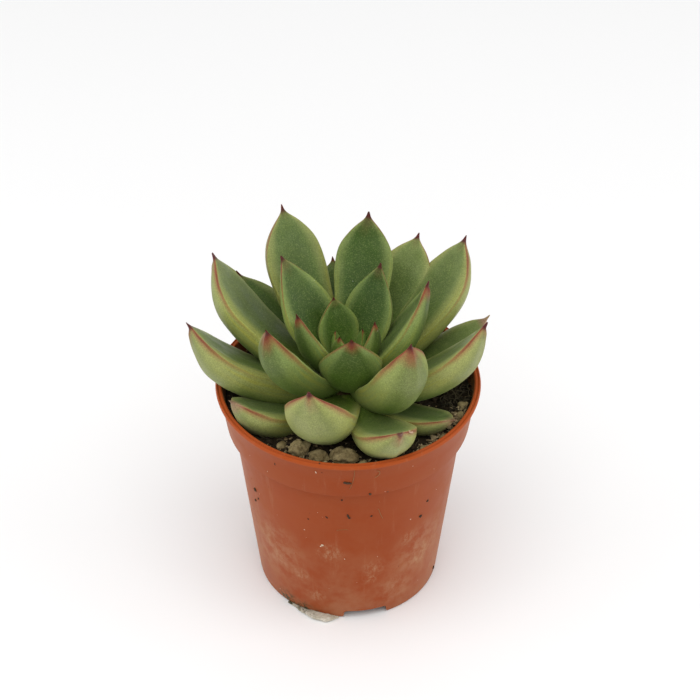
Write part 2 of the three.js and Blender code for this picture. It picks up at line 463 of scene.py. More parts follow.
def leafColour(recipe, place, marks):
    # the living tissue, without its red
    finish = leafFinish
    along, across, face, young, bud, tone, _ = marks
    off = recipe.size(across)
    soft = recipe.patches(place, 0.014, 0.22)
    small = recipe.patches(place, 0.005, 0.2)

    # upper face: dark in the middle, fresh green at the base, greyer towards the tip
    upper = recipe.mix(young, finish["upper"], finish["upperYoung"])
    fresh = recipe.span(along, 0.55, 0.05)
    upper = recipe.mix(fresh, upper, finish["upperFresh"])
    upper = recipe.lay(upper, soft, 0.26, finish["upperFresh"])
    old = recipe.minus(1.0, recipe.times(young, 0.55))
    old = recipe.times(old, recipe.span(tone, -1.0, 1.0, 0.35, 1.35))
    greying = recipe.times(recipe.span(along, 0.3, 1.0), old)
    greying = recipe.times(greying, recipe.plus(0.4, recipe.times(small, 0.4)))
    upper = recipe.mix(greying, upper, finish["upperTip"])

    deep = recipe.times(recipe.span(off, 0.7, 0.15), recipe.span(along, 1.0, 0.6))
    upper = recipe.lay(upper, deep, 0.5, finish["upperDeep"])

    # belly: pale on old leaves, and paler towards its middle, where painted light stands for light thrown up
    # from the floor; green on young ones and where it leaves the rosette
    pale = recipe.mix(recipe.span(face, 0.5, 1.0), finish["belly"], finish["bellyPaleAndLit"])
    belly = recipe.mix(young, pale, finish["bellyYoung"])
    belly = recipe.mix(recipe.span(along, 0.84, 0.3), belly, finish["bellyBase"])
    belly = recipe.lay(belly, soft, 0.42, finish["bellyShade"])
    colour = recipe.mix(recipe.span(face, -0.1, 0.1), upper, belly)

    # a paler band along the margins, and yellow streaks that run with the leaf
    wander = recipe.times(recipe.noise(place, 160.0, 2.0), 0.12)
    narrow = recipe.times(young, 0.01)
    rim = recipe.span(recipe.minus(recipe.plus(off, wander), narrow), 0.56, 1.05)
    rim = recipe.times(rim, recipe.span(along, 0.0, 0.35, 0.35, 0.85))
    colour = recipe.mix(rim, colour, recipe.mix(young, finish["rim"], finish["rimYoung"]))
    inside = {"X": across, "Y": along, "Z": face}
    grown = recipe.put("ShaderNodeCombineXYZ", inside).outputs[0]
    streaks = recipe.span(recipe.noise(recipe.stretched(grown, (11.0, 2.2, 9.0)), 1.0, 4.0, 0.7), 0.44, 0.62)
    middle = recipe.times(recipe.span(along, 0.1, 0.4), recipe.span(along, 0.85, 0.5))
    edge = recipe.span(recipe.size(face), 0.85, 0.1)
    streaks = recipe.times(recipe.times(streaks, middle), edge)
    colour = recipe.lay(colour, streaks, 0.62, finish["streak"])
    # the youngest leaves: their own fresh green, lightened with painted light where the rosette shades them
    return recipe.lay(colour, bud, 0.75, finish["bud"])


def leafBlush(recipe, colour, marks, wander):
    # the line under the margin: yellow green at the base, rusty halfway, dark red at the tip
    finish = leafFinish
    along, across, face, young, _, _, dry = marks
    wobble = recipe.times(recipe.minus(wander, 0.5), 0.12)
    fromLine = recipe.size(recipe.minus(recipe.plus(face, wobble), 0.07))
    red = recipe.span(along, 0.66, 0.9)
    blushReach = recipe.span(along, 0.6, 0.95, 0.1, 0.5)
    blush = recipe.span(recipe.over(fromLine, blushReach), 1.0, 0.0)
    blush = recipe.times(blush, recipe.span(along, 0.5, 0.93, 0.0, 0.75))
    colour = recipe.mix(blush, colour, recipe.mix(red, finish["line"], finish["blush"]))
    reach = recipe.span(along, 0.2, 0.9, 0.05, 0.13)
    line = recipe.span(recipe.over(fromLine, reach), 1.0, 0.1)
    line = recipe.times(line, recipe.span(along, 0.36, 0.92, 0.0, 0.8))
    colour = recipe.mix(line, colour, recipe.mix(red, finish["line"], finish["patch"]))

    # the dark patch that spreads over the belly from under the point
    low = recipe.minus(along, recipe.times(recipe.size(across), 0.03))
    low = recipe.plus(low, wobble)
    under = recipe.span(face, -0.5, 0.15, 0.25, 1.0)
    start = recipe.span(young, 0.0, 1.0, 0.86, 0.81)
    depth = recipe.over(recipe.minus(low, start), 0.12)
    patch = recipe.times(recipe.span(depth, 0.0, 1.0), under)
    alive = recipe.minus(1.0, recipe.times(dry, 0.8))
    patch = recipe.times(patch, alive)
    deep = recipe.mix(recipe.span(depth, 0.5, 1.1), finish["blush"], finish["patch"])
    colour = recipe.lay(colour, patch, 0.95, deep)
    point = recipe.span(recipe.plus(along, recipe.times(wander, 0.04)), 0.955, 0.985)
    return recipe.mix(point, colour, finish["spine"])


def leafSkin():
    finish = leafFinish
    material, recipe, shader = newMaterial("leafSkin")
    place = recipe.place()
    marks = [recipe.attribute(name) for name in leafMarks]
    along, tone, dry = marks[0], marks[5], marks[6]
    wander = recipe.noise(place, 160.0, 2.0)
    grain = recipe.noise(place, 1900.0, 3.0, 0.7)
    colour = leafColour(recipe, place, marks)

    # powdery bloom, worn off in places, and fine pale pores
    bloomPatch = recipe.patches(place, 0.008, 0.16)
    bloom = recipe.times(recipe.times(bloomPatch, grain), 0.12)
    colour = recipe.mix(bloom, colour, finish["bloom"])
    pores = recipe.specks(place, 0.00046, 0.75, 0.5)
    colour = recipe.lay(colour, pores, 0.16, finish["pore"])
    colour = leafBlush(recipe, colour, marks, wander)

    # tips that have dried, and a few specks of dust
    husk = recipe.mix(recipe.noise(place, 900.0, 3.0), finish["dryDark"], finish["dry"])
    withered = recipe.times(recipe.span(along, 0.88, 0.94), dry)
    colour = recipe.mix(withered, colour, husk)
    dust = recipe.specks(place, 0.005, 0.16, 0.045)
    colour = recipe.lay(colour, dust, 0.3, finish["dust"])

    value = recipe.span(tone, -1.0, 1.0, 0.9, 1.12)
    value = recipe.times(value, recipe.span(grain, 0.3, 0.7, 0.82, 1.18))
    hue = recipe.span(tone, -1.0, 1.0, 0.508, 0.492)
    gain = recipe.put("ShaderNodeHueSaturation", {"Color": colour, "Value": value, "Hue": hue})
    dimple = recipe.bump(recipe.noise(place, 420.0, 3.0), 0.3, 0.0003)
    recipe.finish(shader, {
        "Base Color": gain.outputs[0],
        "Roughness": recipe.span(recipe.plus(bloomPatch, grain), 0.3, 1.6, 0.36, 0.56),
        "Subsurface Weight": 0.1,
        "Subsurface Radius": finish["depth"],
        "Subsurface Scale": 1.0,
        "Specular IOR Level": finish["gloss"],
        "Sheen Weight": 0.06,
        "Sheen Roughness": 0.5,
        "Sheen Tint": finish["sheen"],
        "Normal": recipe.bump(grain, 0.3, 0.00007, dimple),
    })
    return material


# the master leaf stands on its base, upper face towards +Y, 1 long, 1 wide and 1 deep
leafShape = {
    "sides": 24,
    "crown": 0.1,  # how far the upper face stands over the margin
    "hollow": 0.055,
    "keel": 0.06,
    "crease": 0.45,
}

# share of the length, of the width and of the depth: outer leaves are broad near the tip, inner ones taper
broadLeaf = [
    (0.0, 0.42, 0.4), (0.06, 0.5, 0.58), (0.14, 0.6, 0.75), (0.24, 0.71, 0.89), (0.35, 0.81, 0.97),
    (0.46, 0.89, 1.01), (0.56, 0.97, 1.0), (0.65, 1.0, 0.95), (0.72, 0.96, 0.86), (0.78, 0.85, 0.73),
    (0.835, 0.67, 0.57), (0.88, 0.48, 0.41), (0.913, 0.3, 0.27), (0.936, 0.17, 0.17), (0.952, 0.1, 0.105),
    (0.966, 0.065, 0.07), (0.982, 0.042, 0.045), (0.997, 0.02, 0.022),
]
pointedLeaf = [
    (0.0, 0.38, 0.42), (0.06, 0.49, 0.6), (0.14, 0.64, 0.8), (0.24, 0.81, 0.95), (0.35, 0.94, 1.0),
    (0.44, 0.995, 0.99), (0.52, 1.0, 0.95), (0.6, 0.93, 0.86), (0.68, 0.8, 0.74), (0.75, 0.65, 0.6),
    (0.815, 0.48, 0.46), (0.87, 0.33, 0.33), (0.907, 0.22, 0.225), (0.933, 0.14, 0.145), (0.951, 0.09, 0.095),
    (0.966, 0.062, 0.068), (0.982, 0.042, 0.045), (0.997, 0.02, 0.022),
]


def masterLeaf(shape, sections):
    deselectAll()
    bpy.ops.mesh.primitive_circle_add(vertices=shape["sides"], radius=0.5, location=(0, 0, 0))
    leaf = bpy.context.object
    tiny = 1e-5
    # from a circle to a flat top over a deep round belly
    selectVertices(leaf, lambda co: co.y < -tiny)
    resize((1, 2, 1))
    selectVertices(leaf, lambda co: co.y > tiny)
    resize((1, 2 * shape["crown"], 1))
    bpy.ops.mesh.select_all(action="SELECT")
    resize((sections[0][1], sections[0][2], 1))
    for (z0, w0, d0), (z1, w1, d1) in zip(sections, sections[1:]):
        extrudeRing(z1 - z0, (w1 / w0, d1 / d0), z1)
    closeRing()
    selectVertices(leaf, lambda co: co.z < tiny)
    closeRing()
    endEdit()

    # where each point is on the leaf, for the skin
    across, face, along = [], [], []
    for vertex in leaf.data.vertices:
        co = vertex.co
        nearest = min(sections, key=lambda s: abs(s[0] - co.z))
        side = max(-1, min(1, co.x / (nearest[1] / 2)))
        bulge = co.y / nearest[2] if co.y < 0 else co.y / (nearest[2] * shape["crown"])
        across.append(side)
        face.append(max(-1, min(1, -bulge)))
        along.append(co.z)
    for name, values in (("across", across), ("face", face), ("along", along)):
        giveAttribute(leaf, name, values)

    # a slight hollow along the upper face, and a keel under the tip
    selectVertices(leaf, lambda co: co.y > tiny and abs(co.x) < 0.3 and 0.15 < co.z < 0.85)
    bpy.ops.transform.translate(value=(0, -shape["hollow"], 0))
    selectVertices(leaf, lambda co: co.y < -tiny and abs(co.x) < 0.03 and 0.7 < co.z < 0.94)
    bpy.ops.transform.translate(value=(0, -shape["keel"], 0))

    # the margins stay sharper than the rest
    selectEdges(leaf, lambda a, b: all(abs(co.y) < tiny < abs(co.x) for co in (a, b)))
    bpy.ops.transform.edge_crease(value=shape["crease"])
    endEdit()
    tidyNormals(leaf)
    return leaf


# the rosette: the part's own leaves, newest first
newestAzimuth = 160.5
goldenAngle = 137.5
# degrees and mm: how far round from its due place, how steep, how bent, how far its base is from the axis
leafKeys = ("age", "turn", "rise", "curl", "length", "width", "depth", "roll", "base", "height", "dry")
leafRows = [
    (0, 10, 72, 12, 14, 8, 3, 0, 2, 106, 0),
    (1, -13, 70, 12, 15, 8, 3, 0, 2, 106, 0),
    (2, -14, 72, 12, 16, 9, 3.5, 0, 2, 105, 0),
    (3, 13, 64, 12, 27, 18, 6.5, 0, 2, 104, 0),
    (4, 4, 62, 18, 26, 12, 5.5, 0, 3, 104, 0),
    (5, 9, 60, 4, 37, 19, 8, 8, 4, 102, 0),
    (6, 3, 57, 8, 42, 21, 9, 2, 4, 101, 0),
    (7, -4, 57, 20, 34, 25, 9, 0, 5, 99.5, 0),
    (8, 6.5, 52, 8, 52, 25, 10, -3, 2, 101, 0),
    (9, 3, 46, 20, 49, 26, 10, -16, 4, 100, 0),
    (10, -4, 41, 22, 57, 20.5, 12, 2, 6, 97.5, 0),
    (11, -9, 40, 26, 62, 23.8, 11, 0, 6, 98, 0),
    (12, -5, 28, 47, 54, 22.5, 14, -4, 6, 97.5, 0),
    (13, -14, 18, 38, 69, 33, 12, 22, 6, 97, 0),
    (14, 0, 18.5, 36, 70, 29, 11.5, -14, 6, 97, 0),
    (15, -3, 5, 66, 61, 27.5, 12.5, 4, 3, 92.5, 0),
    (16, 3, 36, 31, 71, 26.5, 11, 4, 6, 96, 0),
    (17, 3, 16, 42, 60.5, 32, 12, -18, 6, 95, 0),
    (18, -20, 7, 41, 65, 28, 13.5, 22, 6, 95, 0),
    (19, -7, 19, 30, 65, 26, 10, 0, 6, 94, 0),
    (20, -1, -2, 46, 55, 24, 12, -4, 6, 94, 0.15),
    (21, -9, 14, 34, 60, 26, 10, 6, 6, 93, 0),
    (22, -3, 6, 36, 58, 24, 10, -10, 6, 93, 1),
    (23, -25, 0, 40, 49, 28, 12, 16, 7, 90, 0.8),
    (24, -3, 19, 30, 52, 24, 9, 0, 6, 92, 0),
    (25, -1, 2, 18, 46, 23, 9, -20, 6, 91.5, 0.5),
    (27, 0, 2, 22, 43, 24, 8, 0, 6, 91, 0),
    (29, 0, 2, 22, 42, 24, 8, 0, 6, 91, 0.6),
    (32, -3, 0, 20, 40, 23, 8, 0, 6, 90, 1),
]
lastPointed = 9  # the age up to which a leaf has the tapering outline

# how light, warm and powdery a leaf is, from -1 to 1, where chance doesn't decide
leafTones = {
    4: -0.6, 6: -0.5, 7: -0.8, 8: -0.6, 9: -0.2, 10: 0.0, 11: -0.3, 12: -0.8, 13: 0.3, 14: 0.9, 15: 0.5,
    16: 0.9, 17: -0.1, 18: 0.5, 19: 0.3, 20: 0.8, 21: 0.6, 24: 0.0, 26: -0.4,
}


def growLeaf(master, leaf, number, material, swell, tone):
    blade = bpy.data.objects.new("leaf", master.data.copy())
    bpy.context.collection.objects.link(blade)
    workOn(blade)
    blade.scale = (leaf["width"] * mm, leaf["depth"] * mm, leaf["length"] * mm)
    applyPlace(location=False, scale=True)
    applyModifier(blade, "SUBSURF", levels=2, render_levels=2)
    curl = math.radians(leaf["curl"])
    applyModifier(blade, "SIMPLE_DEFORM", deform_method="BEND", deform_axis="X", angle=curl)
    azimuth = newestAzimuth - goldenAngle * leaf["age"] + leaf["turn"]
    lay = Matrix(((0, 0, 1, 0), (1, 0, 0, 0), (0, 1, 0, 0), (0, 0, 0, 1)))  # length to +X, upper face up
    blade.matrix_world = (
        Matrix.Translation((potX, 0, leaf["height"] * mm))
        @ Matrix.Rotation(math.radians(azimuth), 4, "Z")
        @ Matrix.Translation((leaf["base"] * mm, 0, 0))
        @ Matrix.Rotation(math.radians(-leaf["rise"]), 4, "Y")
        @ Matrix.Rotation(math.radians(leaf["roll"]), 4, "X")
        @ lay
    )
    applyPlace(rotation=True, scale=True)
    size = min(1, leaf["width"] / 24)
    roughen(blade, swell, 0.9 * mm * size)
    count = len(blade.data.vertices)
    young = 1 - smoothStep(8, 16, leaf["age"])
    # the youngest leaves get the bud green, lightened with painted light
    bud = 1 - smoothStep(0, 4, leaf["age"])
    for name, value in (("tone", tone), ("dry", leaf["dry"]), ("young", young), ("bud", bud)):
        giveAttribute(blade, name, [value] * count)
    smooth(blade)
    settle(blade, f"blade_{number:02d}", material, "leaf", f"leaf_{number:02d}")
    return blade


def growRosette():
    random.seed(7)
    broad = masterLeaf(leafShape, broadLeaf)
    pointed = masterLeaf(leafShape, pointedLeaf)
    material = leafSkin()
    swell = cloudTexture("leafSwell", 0.016, 1)
    blades = {}
    for number, row in enumerate(leafRows, 1):
        leaf = dict(zip(leafKeys, row))
        master = pointed if leaf["age"] <= lastPointed else broad
        chance = random.uniform(-1, 1)
        tone = leafTones.get(number, chance)
        blades[number] = growLeaf(master, leaf, number, material, swell, tone)
    bpy.data.objects.remove(broad)
    bpy.data.objects.remove(pointed)
    return blades


blades = growRosette()
print("leaves are grown")


# pot
potFinish = {
    "body": (0.275, 0.043, 0.006),
    "bodyPale": (0.31, 0.056, 0.011),
    "lip": (0.36, 0.06, 0.008),
    # painted shade for the inside of the pot
    "inside": (0.11, 0.022, 0.008),
    "chalk": (0.52, 0.36, 0.21),
    "algae": (0.05, 0.042, 0.018),
    "dirt": (0.05, 0.03, 0.018),
    "dust": (0.75, 0.6, 0.48),
    "roughness": 0.4,
    "gloss": 0.09,
    "sheen": (1.0, 0.74, 0.38),
    # azimuth, height and radius of each chalky rub, in degrees and mm
    "rubs": [
        (260, 40, 8), (285, 30, 7), (283, 24, 5), (316, 26, 9), (226, 27, 8), (305, 42, 5), (241, 22, 6),
        (208, 20, 8), (250, 12, 6), (335, 14, 7), (40, 35, 9), (75, 22, 8), (120, 45, 7), (160, 28, 9),
    ],
    # pale haze, same columns: chalk dust, with painted reflection of the bright surroundings towards the
    # pot's left and right sides
    "hazeAndReflection": [(220, 32, 24), (318, 32, 22), (300, 14, 12), (90, 30, 20), (150, 14, 16)],
    "algaeSpots": [(228, 1, 8), (240, 0, 7), (250, -1, 5), (341, 3, 2)],
}

potShape = {
    "sides": 160,
    # flare is height in mm and share of the width, down to the foot
    "notches": {
        "count": 3, "azimuth": 281, "width": 17.6, "height": 3.8, "depth": 10, "corner": 1.3,
        "flare": [(1.3, 1.0), (0.6, 1.025), (0.2, 1.075), (0.0, 1.13)],
    },
    "holes": {"count": 8, "radius": 4, "circle": 26, "depth": 6, "middle": 5.3},
    "foot": 36.8,
    "halfWall": 0.6,
    "lipTop": 95.4,
    "ledge": {"height": 77.2, "below": 45.7, "above": 48.5},
    "collarTop": {"height": 93.6, "radius": 51},
    # radius and height in mm, from the foot's inner edge up the outside, over the lip and down
    "wall": [
        (35.75, 0.0), (36.3, -0.0), (36.85, 0.35), (37.0, 1.2), (41.0, 36.0), (43.3, 56.0),
        (45.4, 74.6), (45.7, 76.6), (46.0, 77.0), (48.0, 77.15), (48.45, 77.4), (48.6, 78.0),
        (49.8, 86.0), (50.85, 93.2), (51.1, 93.75), (51.9, 93.95), (52.35, 94.25), (52.5, 94.8),
        (52.4, 95.4), (52.15, 95.8), (51.85, 95.92), (51.6, 95.6), (51.3, 95.55), (51.0, 95.9),
        (50.5, 96.0), (50.1, 95.8), (49.85, 95.3), (49.5, 93.0), (48.4, 86.0), (47.4, 79.4),
        (47.1, 78.7), (46.6, 78.3), (45.2, 77.9), (44.7, 77.5), (44.5, 76.8), (42.0, 54.0),
        (39.8, 36.0), (36.9, 8.0), (36.6, 6.6), (35.8, 6.05),
    ],
    "underside": [(35.5, 0.3), (35.4, 1.0), (35.6, 4.0), (35.2, 4.5), (34.6, 4.6)],
}


def wallRadius(height):
    # the outside of the wall at a height, in mm
    ledge, top = potShape["ledge"], potShape["collarTop"]
    if height < ledge["height"]:
        return potShape["foot"] + (ledge["below"] - potShape["foot"]) * height / ledge["height"]
    share = (height - ledge["height"]) / (top["height"] - ledge["height"])
    return ledge["above"] + (top["radius"] - ledge["above"]) * share


def onWall(azimuth, height, proud=0.0):
    turn = math.radians(azimuth)
    out = (wallRadius(height) + proud) * mm
    return Vector((potX + out * math.cos(turn), out * math.sin(turn), height * mm))


def spots(recipe, place, rows):
    # one mask of soft round spots on the wall
    mask = None
    for azimuth, height, radius in rows:
        here = recipe.span(recipe.distance(place, onWall(azimuth, height)), radius * mm, 0.0)
        mask = here if mask is None else recipe.math("MAXIMUM", mask, here)
    return mask


def potPlastic():
    finish = potFinish
    material, recipe, shader = newMaterial("potPlastic")
    place = recipe.place()
    patch = recipe.patches(place, 0.03, 0.25)
    grain = recipe.noise(place, 1500.0, 3.0, 0.6)
    colour = recipe.mix(recipe.times(patch, 0.45), finish["body"], finish["bodyPale"])

    # the lip is thinner and brighter; the inside is darkened with painted shade
    parts = recipe.put("ShaderNodeSeparateXYZ", {"Vector": place})
    lip = recipe.span(parts.outputs["Z"], 93.6 * mm, 94.6 * mm)
    colour = recipe.mix(lip, colour, finish["lip"])
    inside = recipe.attribute("inside")
    colour = recipe.lay(colour, inside, 0.8, finish["inside"])

    # faint upright marks left by moulding and by stacking
    upright = recipe.stretched(place, (260.0, 260.0, 9.0))
    marks = recipe.span(recipe.noise(upright, 1.0, 4.0, 0.7), 0.56, 0.74)
    colour = recipe.lay(colour, marks, 0.08, finish["chalk"])

    # chalky rubs, scratched through
    scratch = recipe.noise(recipe.stretched(place, (520.0, 520.0, 330.0)), 1.0, 5.0, 0.8)
    rubbed = spots(recipe, place, finish["rubs"])
    rubbed = recipe.times(rubbed, recipe.span(scratch, 0.42, 0.72))
    colour = recipe.lay(colour, rubbed, 0.5, finish["chalk"])
    # a wide pale haze: partly chalk dust, partly painted reflection towards the pot's left and right sides
    cloudy = recipe.span(recipe.noise(place, 190.0, 5.0, 0.75), 0.36, 0.66)
    hazeAndReflection = recipe.times(spots(recipe, place, finish["hazeAndReflection"]), cloudy)
    colour = recipe.lay(colour, hazeAndReflection, 0.3, finish["chalk"])

    # a thin film of dust, thicker low down, and specks of dried soil
    low = recipe.span(parts.outputs["Z"], 55 * mm, 0.0, 0.03, 0.22)
    film = recipe.patches(place, 0.011, 0.2)
    colour = recipe.mix(recipe.times(film, low), colour, finish["chalk"])
    soilSpecks = recipe.specks(place, 0.009, 0.3, 0.06)
    colour = recipe.lay(colour, soilSpecks, 0.85, finish["dirt"])
    dust = recipe.specks(place, 0.0035, 0.14, 0.075)
    colour = recipe.lay(colour, dust, 0.6, finish["dust"])

    # algae where the foot stood wet
    algae = recipe.times(spots(recipe, place, finish["algaeSpots"]), 1.6)
    algae = recipe.times(algae, recipe.span(recipe.noise(place, 520.0, 4.0, 0.7), 0.4, 0.62))
    colour = recipe.mix(algae, colour, finish["algae"])

    dull = recipe.math("MAXIMUM", rubbed, recipe.times(film, 0.4))
    wave = recipe.bump(recipe.noise(place, 55.0, 2.0), 0.3, 0.0008)
    recipe.finish(shader, {
        "Base Color": colour,
        "Roughness": recipe.span(dull, 0.0, 1.0, finish["roughness"], 0.75),
        "Specular IOR Level": finish["gloss"],
        "Sheen Weight": 0.12,
        "Sheen Roughness": 0.45,
        "Sheen Tint": finish["sheen"],
        "Normal": recipe.bump(grain, 0.2, 0.00005, wave),
    })
    return material


def notchCutter(notches):
    # one block with rounded upper corners, copied round the foot
    deselectAll()
    bpy.ops.mesh.primitive_cube_add(size=1)
    block = bpy.context.object
    block.scale = (notches["depth"] * mm, notches["width"] * mm, 2 * notches["height"] * mm)
    block.location = (potShape["foot"] * mm, 0, 0)
    applyPlace(scale=True)
    startEdit()
    selectEdges(block, lambda a, b: min(a.z, b.z) > 0 and abs(a.y - b.y) < hair)
    bpy.ops.mesh.bevel(offset=notches["corner"] * mm, segments=4)
    # it flares at the foot, so that the skirt's own corners are round
    for height, _ in notches["flare"]:
        bpy.ops.mesh.select_all(action="SELECT")
        bpy.ops.mesh.bisect(plane_co=(0, 0, height * mm), plane_no=(0, 0, 1))
    for height, flare in notches["flare"]:
        selectVertices(block, lambda co: abs(co.z - height * mm) < hair)
        resize((1, flare, 1))
    selectVertices(block, lambda co: co.z < -hair)
    resize((1, flare, 1))
    endEdit()
    return block


def copiesRound(master, count, azimuth):
    copies = []
    for step in range(count):
        turned = bpy.data.objects.new("copy", master.data.copy())
        bpy.context.collection.objects.link(turned)
        turn = Matrix.Rotation(math.radians(azimuth + step * 360 / count), 4, "Z")
        turned.data.transform(Matrix.Translation((potX, 0, 0)) @ turn)
        copies.append(turned)
    bpy.data.objects.remove(master)
    return copies


def mouldPot():
    shape = potShape
    wall, notches, holes = shape["wall"], shape["notches"], shape["holes"]
    pot = startRing(shape["sides"], *wall[0])
    raiseRings(wall)
    closeRing()
    near = wall[0][0] * mm
    selectVertices(pot, lambda co: abs(co.z) < hair and abs(co.xy.length - near) < 10 * hair)
    raiseRings([wall[0]] + shape["underside"])
    closeRing()
    endEdit()
    moveToPot(pot)

    # notches in the foot and drain holes in the floor
    cutters = copiesRound(notchCutter(notches), notches["count"], notches["azimuth"])
    deselectAll()
    bpy.ops.mesh.primitive_cylinder_add(
        vertices=32, radius=holes["radius"] * mm, depth=holes["depth"] * mm,
        location=(holes["circle"] * mm, 0, holes["middle"] * mm),
    )
    drill = bpy.context.object
    applyPlace()
    for cutter in cutters + copiesRound(drill, holes["count"], 0):
        applyModifier(pot, "BOOLEAN", operation="DIFFERENCE", object=cutter, solver="EXACT")
        bpy.data.objects.remove(cutter)

    # the vertices inside the wall, which the finish darkens with painted shade
    inside = []
    for vertex in pot.data.vertices:
        away = math.hypot(vertex.co.x - potX, vertex.co.y) / mm
        height = vertex.co.z / mm
        within = away < wallRadius(height) - shape["halfWall"] and height < shape["lipTop"]
        inside.append(1.0 if within else 0.0)
    giveAttribute(pot, "inside", inside)
    smooth(pot, 32)
    settle(pot, "nurseryPot", potPlastic(), "pot", "pot")


mouldPot()
print("pot is moulded")


# soil
soilFinish = {"dark": (0.011, 0.008, 0.005), "brown": (0.055, 0.038, 0.019), "tan": (0.16, 0.115, 0.055)}


def soilEarth():
    finish = soilFinish
    material, recipe, shader = newMaterial("soilEarth")
    place = recipe.place()
    patch = recipe.patches(place, 0.006, 0.25)
    fine = recipe.noise(place, 900.0, 4.0, 0.7)
    colour = recipe.mix(patch, finish["dark"], finish["brown"])
    grit = recipe.specks(place, 0.0022, 0.3, 0.25)
    colour = recipe.lay(colour, grit, 0.6, finish["tan"])
    recipe.finish(shader, {
        "Base Color": colour,
        "Roughness": 0.95,
        "Specular IOR Level": 0.2,
        "Normal": recipe.bump(fine, 0.8, 0.0006),
    })
    return material


soilShape = {
    "sides": 96,
    "wall": [
        (35.9, 6.4), (36.6, 8.0), (44.1, 76.2), (44.4, 77.4), (46.9, 79.0), (48.9, 88.6), (48.2, 89.3),
    ],
    "rings": 22,
    "level": 89.4,
    "rough": 88,  # only what is higher is heaved
}


def fillSoil():
    shape = soilShape
    wall, rings = shape["wall"], shape["rings"]
    soil = startRing(shape["sides"], *wall[0])
    edge = wall[-1][0]
    raiseRings(wall + [(edge * (1 - ring / rings), shape["level"]) for ring in range(1, rings)])
    closeRing()
    selectVertices(soil, lambda co: co.z < (wall[0][1] + 0.1) * mm)
    closeRing()
    endEdit()
    moveToPot(soil)
    top = soil.vertex_groups.new(name="top")
    top.add([v.index for v in soil.data.vertices if v.co.z > shape["rough"] * mm], 1.0, "ADD")
    applyModifier(soil, "SUBSURF", levels=1, render_levels=1)
    for name, size, depth, strength in (("soilHeave", 0.011, 2, 2.2), ("soilClods", 0.0035, 3, 1.6)):
        roughen(soil, cloudTexture(name, size, depth), strength * mm, direction="Z", vertex_group="top")
    smooth(soil)
    settle(soil, "soilBed", soilEarth(), "soil", "soil")


fillSoil()
print("soil is filled in")


# loose bits on the soil: crumbs, grit and strands of moss
crumbFinish = {
    # darkest, lightest and roughness
    "peatCrumb": ((0.007, 0.006, 0.004), (0.05, 0.034, 0.018), 0.95),
    "tanGrit": ((0.11, 0.07, 0.03), (0.46, 0.36, 0.2), 0.9),
    "mossStrand": ((0.016, 0.015, 0.008), (0.12, 0.1, 0.055), 0.9),
    "soilFleck": ((0.02, 0.012, 0.007), (0.07, 0.04, 0.022), 0.9),
    "limeChip": ((0.5, 0.38, 0.26), (0.78, 0.66, 0.5), 0.85),
    "drySprig": ((0.24, 0.1, 0.03), (0.5, 0.32, 0.15), 0.8),
    "driedHusk": ((0.1, 0.045, 0.025), (0.56, 0.38, 0.25), 0.75),
    "paleFibre": ((0.55, 0.48, 0.3), (0.75, 0.68, 0.5), 0.7),
}


def crumbSkin(name):
    low, high, roughness = crumbFinish[name]
    material, recipe, shader = newMaterial(name)
    place = recipe.place()
    tone = recipe.attribute("tone")
    grain = recipe.noise(place, 1400.0, 4.0, 0.7)
    shade = recipe.plus(recipe.times(tone, 0.7), recipe.times(grain, 0.45))
    colour = recipe.mix(recipe.span(shade, 0.1, 1.0), low, high)
    recipe.finish(shader, {
        "Base Color": colour,
        "Roughness": roughness,
        "Specular IOR Level": 0.25,
        "Normal": recipe.bump(grain, 0.6, 0.0002),
    })
    return material


def roughBit(name, subdivisions, stretch, strength):
    # a small knobbly lump about 1 mm across, to be copied and resized
    deselectAll()
    bpy.ops.mesh.primitive_ico_sphere_add(subdivisions=subdivisions, radius=0.5 * mm)
    bit = bpy.context.object
    bit.scale = stretch
    applyPlace(location=False, scale=True)
    roughen(bit, cloudTexture(name + "Lumps", 0.0006, 1), strength * mm)
    return bit


def joinCopies(name, copies, material, slot):
    # copies is a list of (bit, matrix, tone): they become one piece
    deselectAll()
    pieces = []
    for bit, matrix, tone in copies:
        piece = bpy.data.objects.new(name, bit.data.copy())
        piece.data.transform(matrix)
        giveAttribute(piece, "tone", [tone] * len(piece.data.vertices))
        bpy.context.collection.objects.link(piece)
        piece.select_set(True)
        pieces.append(piece)
    bpy.context.view_layer.objects.active = pieces[0]
    if len(pieces) > 1:
        bpy.ops.object.join()
    settle(bpy.context.object, name, material, slot)


def scatter(bits, count, azimuths, radii, sizes, level, tumble=180):
    # random places over a ring of soil
    copies = []
    for _ in range(count):
        bit = random.choice(bits)
        turn = math.radians(random.uniform(*azimuths))
        away = math.sqrt(random.uniform(radii[0] ** 2, radii[1] ** 2)) * mm
        size = random.uniform(*sizes) * random.uniform(0.7, 1.0)
        spin = Matrix.Rotation(random.uniform(0, 2 * math.pi), 4, "Z")
        tip = Matrix.Rotation(math.radians(random.uniform(-tumble, tumble)), 4, "X")
        height = (level + random.uniform(-0.5, 0.6)) * mm
        place = Matrix.Translation((potX + away * math.cos(turn), away * math.sin(turn), height))
        copies.append((bit, place @ spin @ tip @ Matrix.Scale(size, 4), random.random()))
    return copies


def strand(points, thickness, sides=1, steps=6):
    # a thin round fibre through five points, made a closed mesh
    deselectAll()
    bpy.ops.curve.primitive_nurbs_path_add()
    fibre = bpy.context.object
    for knot, point in zip(fibre.data.splines[0].points, points):
        knot.co = (*point, 1)
    curve = fibre.data
    curve.splines[0].use_endpoint_u = True
    curve.resolution_u = steps
    curve.bevel_depth = thickness / 2
    curve.bevel_resolution = sides
    curve.use_fill_caps = True
    bpy.ops.object.convert(target="MESH")
    fibre = bpy.context.object
    tidyNormals(fibre, merge=thickness / 50)
    return fibre


